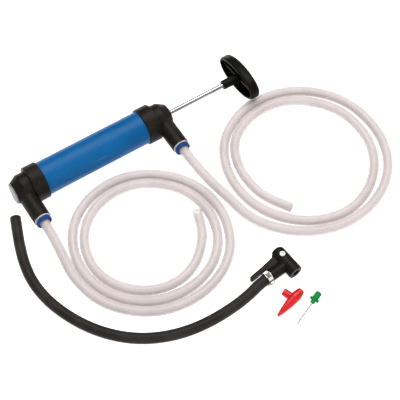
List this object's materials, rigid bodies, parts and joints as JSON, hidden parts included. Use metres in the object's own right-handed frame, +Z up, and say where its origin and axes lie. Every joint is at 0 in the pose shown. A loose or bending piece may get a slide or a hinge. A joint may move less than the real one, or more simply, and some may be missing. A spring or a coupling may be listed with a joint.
{
  "type": "fluid transfer pump",
  "caption": "Hand fluid transfer pump kit: blue piston pump with push-in side ports, coiled clear hoses, black air hose with lever chuck, nozzle and needle adapters.",
  "frame": {"origin": "centre of the bottom of the pump and its rigid accessories, on the surface it lies on", "axes": "+X along the barrel towards the handle, +Y away from the ports, +Z up"},
  "size_m": [0.449, 0.3325, 0.044],
  "materials": {
    "barrel_blue": "smooth glossy mid-blue tube",
    "cap_black": "moulded semi-matte black",
    "seal_rubber": "soft black seal rubber",
    "plug_grey": "light grey moulded plastic",
    "small_steel": "plain steel",
    "ring_white": "white moulded plastic",
    "release_blue": "cobalt blue moulded plastic",
    "valve_white": "natural white acetal",
    "rod_chrome": "polished plated rod",
    "handle_black": "moulded black",
    "piston_black": "moulded black",
    "hose_clear": "milky clear flexible tubing",
    "air_hose_rubber": "smooth black rubber hose",
    "clamp_steel": "knurled plated band",
    "chuck_black": "fine-grained moulded black",
    "pin_steel": "bright rivet head",
    "nozzle_red": "red moulded plastic",
    "needle_green": "green moulded plastic",
    "needle_steel": "drawn steel tube"
  },
  "bodies": {
    "pump": {"barrel": "barrel_blue", "base_cap": "cap_black", "top_cap": "cap_black", "base_cap_seal": "seal_rubber", "top_cap_seal": "seal_rubber", "base_end_plug": "plug_grey", "base_port_seal": "seal_rubber", "top_port_seal": "seal_rubber", "base_grab_ring": "small_steel", "top_grab_ring": "small_steel", "base_port_ring": "ring_white", "top_port_ring": "ring_white", "foot_valve_seat": "valve_white", "foot_valve_cage": "valve_white", "foot_valve_spring": "small_steel", "rod_guide_bush": "valve_white", "rod_seal": "seal_rubber", "gland_retainer": "cap_black", "base_hose": "hose_clear", "top_hose": "hose_clear"},
    "piston_slide": {"piston_ring": "seal_rubber"},
    "plunger": {"rod": "rod_chrome", "handle": "handle_black", "piston": "piston_black", "piston_washer": "small_steel", "piston_nut": "small_steel"},
    "flap": {"piston_flap": "seal_rubber"},
    "poppet": {"foot_valve_poppet": "valve_white"},
    "base_release": {"base_release_collar": "release_blue"},
    "top_release": {"top_release_collar": "release_blue"},
    "air_line": {"air_hose": "air_hose_rubber", "hose_clamp": "clamp_steel", "chuck_body": "chuck_black", "chuck_pin": "pin_steel", "chuck_seal": "seal_rubber"},
    "chuck_lever": {"chuck_lever": "chuck_black"},
    "chuck_plunger": {"chuck_plunger": "small_steel"},
    "nozzle": {"nozzle_adapter": "nozzle_red"},
    "needle": {"needle_hub": "needle_green", "needle_tube": "needle_steel"}
  },
  "joints": [
    {"name": "rod_slide", "type": "slide", "parent": "pump", "child": "piston_slide", "axis": [1, 0, 0], "range_m": [-0.073, 0.038]},
    {"name": "rod_spin", "type": "hinge", "parent": "piston_slide", "child": "plunger", "pos_m": [0, 0.13, 0.022], "axis": [1, 0, 0], "range_deg": [-95, 3]},
    {"name": "piston_flap_lift", "type": "slide", "parent": "plunger", "child": "flap", "axis": [1, 0, 0], "range_m": [0, 0.0012], "stiffness_N_per_m": 40, "springref_m": -0.002},
    {"name": "foot_valve_lift", "type": "slide", "parent": "pump", "child": "poppet", "axis": [1, 0, 0], "range_m": [0, 0.003], "stiffness_N_per_m": 60, "springref_m": -0.002, "deforming": ["foot_valve_spring"]},
    {"name": "base_release_press", "type": "slide", "parent": "pump", "child": "base_release", "axis": [0, 1, 0], "range_m": [0, 0.0014], "stiffness_N_per_m": 200, "springref_m": -0.001},
    {"name": "top_release_press", "type": "slide", "parent": "pump", "child": "top_release", "axis": [0, 1, 0], "range_m": [0, 0.0014], "stiffness_N_per_m": 200, "springref_m": -0.001},
    {"name": "air_line_lift", "type": "slide", "parent": "pump", "child": "air_line", "axis": [0, 0, 1], "range_m": [0, 0.12]},
    {"name": "chuck_lever_pivot", "type": "hinge", "parent": "air_line", "child": "chuck_lever", "pos_m": [0.05784, -0.09335, 0.0086], "axis": [0, 0, -1], "range_deg": [0, 90]},
    {"name": "chuck_plunger_slide", "type": "slide", "parent": "air_line", "child": "chuck_plunger", "axis": [0.0958, -0.9954, 0], "range_m": [0, 0.0015]},
    {"name": "nozzle_lift", "type": "slide", "parent": "pump", "child": "nozzle", "axis": [0, 0, 1], "range_m": [0, 0.12]},
    {"name": "needle_lift", "type": "slide", "parent": "pump", "child": "needle", "axis": [0, 0, 1], "range_m": [0, 0.12]}
  ],
  "couplings": [
    {"joint": "chuck_plunger_slide", "follows": "chuck_lever_pivot", "m_per_rad": 0.00095}
  ]
}
